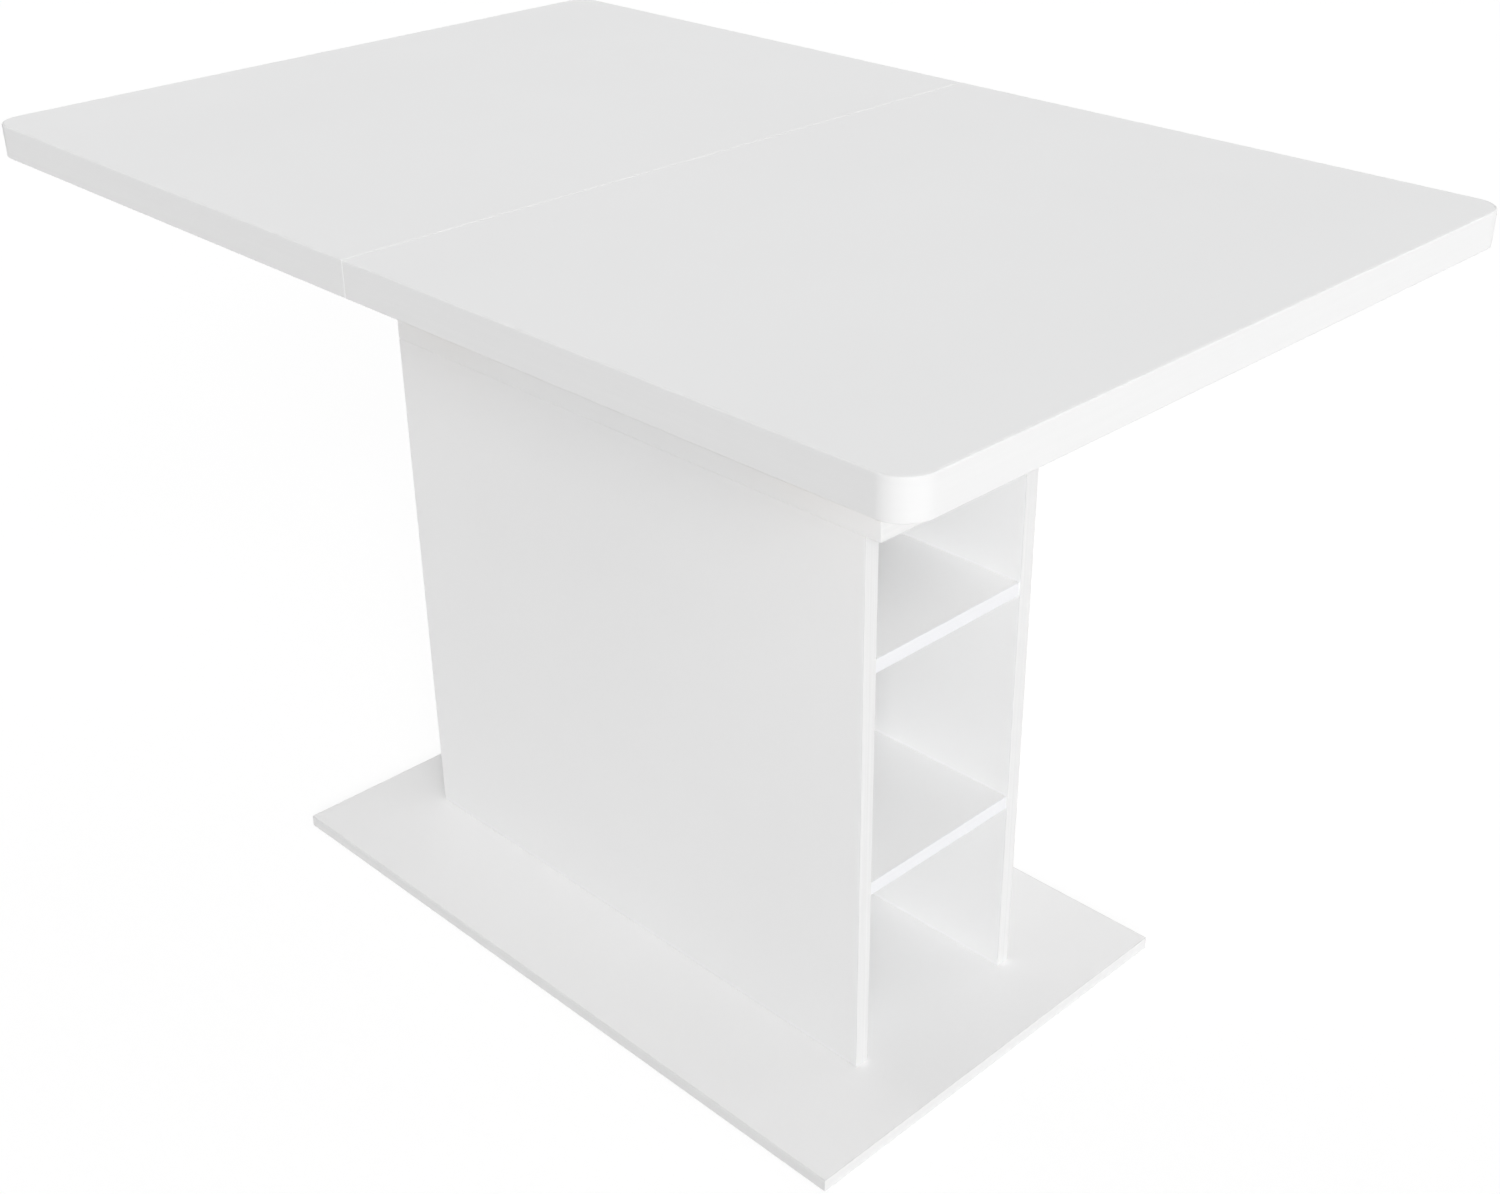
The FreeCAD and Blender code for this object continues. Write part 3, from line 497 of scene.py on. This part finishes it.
def make_band(hand, lean, material):
    """The band of one half of the top, swept from the seam round both corners and back."""
    name = f"top_band_{hand}"
    low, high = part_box(name)
    height = high.z - low.z
    loops = []
    for place, outward, inset in band_path(low, high, lean):
        loop = []
        for depth, level in band_section(height):
            point = place - max(depth, inset) * outward
            rise = min(max(level, inset), height - inset)
            loop.append(Vector((point.x, point.y, low.z + rise)))
        loops.append(loop)
    shape = bmesh.new()
    skin(shape, loops)
    stand_in(name, shape, material)


def recess(x, y):
    """Depth of the cross recess under a point of a screw head."""
    reach, half = max(abs(x), abs(y)), min(abs(x), abs(y))
    inside_arm = min(1, max(0, (RECESS_HALF + RECESS_WALL - half) / RECESS_WALL))
    inside_end = min(1, max(0, (RECESS_REACH - reach) / RECESS_WALL))
    slope = 1 - RECESS_RISE * reach / RECESS_REACH
    return RECESS_DEPTH * slope * inside_arm * inside_end


def head_loops(radius, height):
    """A rounded pan head below its seat at zero, with a cross recess."""
    loops = []
    for turn in quarter(HEAD_RINGS)[1:]:
        level = height * max(0, math.cos(turn)) ** (2 / HEAD_POWER)
        loop = ring(radius * math.sin(turn) ** (2 / HEAD_POWER), 0, HEAD_STEPS)
        for point in loop:
            point.z = recess(point.x, point.y) - level
        loops.append(loop)
    return loops


def thread_loops(crest_radius, length):
    """A thread along +Z from zero, tapered to a point at its end."""
    loops = []
    count = round(length / SCREW_PITCH * THREAD_STEPS)
    for index in range(1, count + 1):
        level = length * index / count
        taper = min(1, (length - level) / SCREW_TIP)
        loop = []
        for step in range(HEAD_STEPS):
            turn = step / HEAD_STEPS
            phase = (level / SCREW_PITCH + turn) % 1
            crest = max(0, 1 - 2 * abs(phase - 0.5) / CREST_SHARE)
            full_radius = SCREW_ROOT + (crest_radius - SCREW_ROOT) * crest
            radius = SCREW_POINT + taper * (full_radius - SCREW_POINT)
            angle = FULL_TURN * turn
            loop.append(Vector((radius * math.cos(angle), radius * math.sin(angle), level)))
        loops.append(loop)
    return loops


def make_screws(name, material):
    """Pan-head wood screws in the places of a node's plain ones."""
    shape = bmesh.new()
    for points in islands(name):
        low, high = corners(points)
        head_radius = (high.x - low.x) / 2
        middle = Vector(((low.x + high.x) / 2, (low.y + high.y) / 2))
        wide = [point.z for point in points if (point.xy - middle).length > HEAD_SHARE * head_radius]
        head_low, head_high = min(wide), max(wide)
        shank = [point for point in points if not head_low <= point.z <= head_high]
        shank_radius = max((point.xy - middle).length for point in shank)
        upward = head_high < (low.z + high.z) / 2
        seat = head_high if upward else head_low
        length = high.z - seat if upward else seat - low.z
        loops = head_loops(head_radius, head_high - head_low)
        loops.append(ring(shank_radius, 0, HEAD_STEPS))
        loops += thread_loops(shank_radius, length)
        matrix = Matrix.Translation((*middle, seat))
        if not upward:
            matrix = matrix @ Matrix.Rotation(HALF_TURN, 4, "X")
        skin(shape, loops, matrix)
    stand_in(name, shape, material)


def make_dowels(name, direction, material):
    """Fluted dowels with chamfered ends in the places of a node's plain ones."""
    shape = bmesh.new()
    axis = "XYZ".index(direction)
    across = (axis + 1) % 3
    way = Vector([float(index == axis) for index in range(3)])
    turn = Vector((0, 0, 1)).rotation_difference(way).to_matrix().to_4x4()
    steps = DOWEL_FLUTES * 2
    for points in islands(name):
        low, high = corners(points)
        length = high[axis] - low[axis]
        radius = (high[across] - low[across]) / 2
        outline = [
            (0, DOWEL_CHAMFER),
            (DOWEL_CHAMFER, 0),
            (length - DOWEL_CHAMFER, 0),
            (length, DOWEL_CHAMFER),
        ]
        loops = []
        for level, shrink in outline:
            loop = ring(radius - shrink, level, steps)
            for point in loop[::2]:
                point.xy *= 1 - DOWEL_FLUTE_DEPTH / radius
            loops.append(loop)
        start = (low + high) / 2
        start[axis] = low[axis]
        skin(shape, loops, Matrix.Translation(start) @ turn)
    stand_in(name, shape, material)


def make_glides(material):
    """Round floor glides with a rolled lower edge."""
    shape = bmesh.new()
    for points in islands("floor_glides"):
        low, high = corners(points)
        radius = (high.x - low.x) / 2
        loops = []
        for turn in quarter(GLIDE_ROUND_STEPS):
            inset = GLIDE_ROUND * (1 - math.sin(turn))
            level = GLIDE_ROUND * (1 - math.cos(turn))
            loops.append(ring(radius - inset, level, GLIDE_STEPS))
        loops.append(ring(radius, high.z - low.z, GLIDE_STEPS))
        place = (low + high) / 2
        skin(shape, loops, Matrix.Translation((place.x, place.y, low.z)))
    stand_in("floor_glides", shape, material)


# The table's materials
board = melamine("matt_white_melamine", BOARD_TONE)
# The foot is the boards' melamine at a lighter tone, painted light that lifts the shade of the top
# and cabinet over it
foot_board_painted_light = melamine("matt_white_melamine_foot_painted_light", FOOT_TONE_PAINTED_LIGHT)
steel = zinc()
gear_nylon = nylon()
# The edgings below are copies of one white plastic. Each is set to its own tone, under the boards',
# as painted shade to match how light falls on the faces it covers: darkest on the upright ends that
# face the lamps. The shelves' copy is also a shade bluer.
level_edging_painted_shade = edging("white_edging_level_painted_shade", LEVEL_RUN, tone=0.85, lines=0.01)
foot_edging_painted_shade = edging("white_edging_foot_painted_shade", LEVEL_RUN, tone=0.8, lines=0.01)
upright_edging_painted_shade = edging("white_edging_upright_painted_shade", UPRIGHT_RUN, tone=0.765, lines=0.05)
cross_edging_painted_shade = edging("white_edging_across_painted_shade", CROSS_RUN, tone=0.83, lines=0.04)
seam_edging = edging("white_edging_seam_painted_shade", CROSS_RUN, tone=0.855, lines=0.01)
shelf_edging = edging("bluish_white_edging_painted_shade", CROSS_RUN, tone=0.835, lines=0.01, blue=0.012)
long_beech = beech("beech_lengthwise", BEECH_LENGTHWISE)
cross_beech = beech("beech_across", BEECH_ACROSS)

# The table's pieces
BOARDS = {
    "side_panel_near": JOINT_EASE,
    "side_panel_far": JOINT_EASE,
    "back_panel": BOARD_EASE,
    "lower_shelf": BOARD_EASE,
    "upper_shelf": BOARD_EASE,
    "cabinet_top_board": JOINT_EASE,
    "top_panel_right": BOARD_EASE,
    "top_panel_left": BOARD_EASE,
    "leaf_board_lower": BOARD_EASE,
    "leaf_board_upper": BOARD_EASE,
}
# Each edging takes its copy of the white plastic, whose tone is painted shade
EDGINGS = {
    "base_edging": foot_edging_painted_shade,
    "leaf_bands": level_edging_painted_shade,
    "panel_edging_near": upright_edging_painted_shade,
    "panel_edging_far": upright_edging_painted_shade,
    "lower_shelf_edging": shelf_edging,
    "upper_shelf_edging": shelf_edging,
    "cabinet_top_edging": cross_edging_painted_shade,
}
TIMBERS = {
    "guide_rail_near": long_beech,
    "guide_rail_far": long_beech,
    "slide_right_near": long_beech,
    "slide_right_far": long_beech,
    "slide_left_near": long_beech,
    "slide_left_far": long_beech,
    "rack_block_right": long_beech,
    "rack_block_left": long_beech,
    "yoke_right": cross_beech,
    "yoke_left": cross_beech,
    "leaf_bearer_right": cross_beech,
    "leaf_bearer_left": cross_beech,
    "pinion_bridge": cross_beech,
}
SCREWS = [
    "base_screws",
    "top_board_screws",
    "yoke_screws",
    "rail_screws",
    "bearer_screws",
    "bridge_screws",
    "slide_screws_right",
    "slide_screws_left",
    "rack_screws_right",
    "rack_screws_left",
]
KEPT = {
    "pinion_axle": steel,
    "axle_clip": steel,
    "leaf_hinge_plates_lower": steel,
    "leaf_hinge_plates_upper": steel,
    "leaf_hinge_pins": steel,
    "rack_right": gear_nylon,
    "rack_left": gear_nylon,
    "sync_pinion": gear_nylon,
}

# The base plate takes the lighter foot copy of the melamine, painted light
ease("base_plate", BOARD_EASE, foot_board_painted_light)
for name, radius in BOARDS.items():
    ease(name, radius, board)
for name, material in EDGINGS.items():
    ease(name, EDGING_EASE, material)
for name, material in TIMBERS.items():
    ease(name, WOOD_EASE, material)
# The bands and seams take edging copies whose tones are painted shade
for hand, lean in (("right", 1), ("left", -1)):
    make_band(hand, lean, level_edging_painted_shade)
    ease(f"seam_edging_{hand}", SEAM_EASE, seam_edging)
for name in SCREWS:
    make_screws(name, steel)
make_dowels("shelf_dowels", "Y", cross_beech)
make_dowels("back_panel_dowels", "Y", cross_beech)
make_dowels("alignment_pins", "X", long_beech)
make_glides(glide_plastic())
for name, material in KEPT.items():
    frame["nodes"][name].material_slots[0].material = material


# Floor, sky and light
def seen_directly(tree):
    """One for what the camera sees, also in a reflection or through glass; zero for light itself."""
    path = node(tree, "ShaderNodeLightPath")
    seen = path.outputs["Is Camera Ray"]
    for ray in ("Is Glossy Ray", "Is Transmission Ray"):
        either = {0: seen, 1: path.outputs[ray]}
        seen = node(tree, "ShaderNodeMath", either, operation="MAXIMUM").outputs["Value"]
    return seen


def make_floor():
    """A pale floor that looks white to the camera apart from the object's soft shadow."""
    shape = bmesh.new()
    bmesh.ops.create_grid(shape, x_segments=1, y_segments=1, size=FLOOR_HALF)
    mesh = bpy.data.meshes.new("floor")
    shape.to_mesh(mesh)
    shape.free()
    floor = bpy.data.objects.new("floor", mesh)
    bpy.context.scene.collection.objects.link(floor)
    material = bpy.data.materials.new("white_floor")
    material.use_nodes = True
    tree = material.node_tree
    tree.nodes.clear()
    share = FLOOR_SHADE_SHARE
    white_strength = 1 - share * FLOOR_LIT
    lit = node(tree, "ShaderNodeBsdfDiffuse", {"Color": FLOOR_COLOUR}).outputs["BSDF"]
    shade = node(tree, "ShaderNodeBsdfDiffuse", {"Color": (share, share, share, 1)}).outputs["BSDF"]
    white = node(tree, "ShaderNodeEmission", {"Strength": white_strength}).outputs["Emission"]
    shown = node(tree, "ShaderNodeAddShader", {0: shade, 1: white}).outputs["Shader"]
    mix = node(tree, "ShaderNodeMixShader", {0: seen_directly(tree), 1: lit, 2: shown})
    node(tree, "ShaderNodeOutputMaterial", {"Surface": mix.outputs["Shader"]})
    mesh.materials.append(material)


def make_sky():
    """Weak even light from all round, which looks white to the camera."""
    world = bpy.data.worlds.new("studio")
    world.use_nodes = True
    tree = world.node_tree
    tree.nodes.clear()
    light = node(tree, "ShaderNodeBackground", {"Strength": SKY_STRENGTH, "Color": WHITE})
    white = node(tree, "ShaderNodeBackground", {"Strength": 1, "Color": WHITE})
    inputs = {0: seen_directly(tree), 1: light.outputs["Background"], 2: white.outputs["Background"]}
    mix = node(tree, "ShaderNodeMixShader", inputs)
    node(tree, "ShaderNodeOutputWorld", {"Surface": mix.outputs["Shader"]})
    bpy.context.scene.world = world


def make_lamp(name, heading, height, spread, strength):
    """A soft light from far away, so that it falls evenly over the whole object."""
    lamp = bpy.data.lights.new(name, "SUN")
    lamp.angle = math.radians(spread)
    lamp.energy = strength
    light = bpy.data.objects.new(name, lamp)
    light.rotation_euler = (0, QUARTER_TURN - math.radians(height), math.radians(heading))
    bpy.context.scene.collection.objects.link(light)


def make_camera():
    """The photograph's view."""
    lens = bpy.data.cameras.new("camera")
    lens.sensor_fit = "HORIZONTAL"
    lens.sensor_width = SENSOR_WIDTH
    lens.lens = SENSOR_WIDTH * FOCAL_PIXELS / IMAGE_WIDTH
    camera = bpy.data.objects.new("camera", lens)
    camera.location = CAMERA_PLACE
    turns = (CAMERA_TILT, CAMERA_ROLL, CAMERA_HEADING)
    camera.rotation_euler = [math.radians(turn) for turn in turns]
    bpy.context.scene.collection.objects.link(camera)
    bpy.context.scene.camera = camera


make_floor()
make_sky()
for name, (heading, height, spread, strength) in LAMPS.items():
    make_lamp(name, heading, height, spread, strength)
make_camera()
bpy.context.scene.view_settings.view_transform = "Standard"
bpy.context.scene.cycles.diffuse_bounces = DIFFUSE_BOUNCES
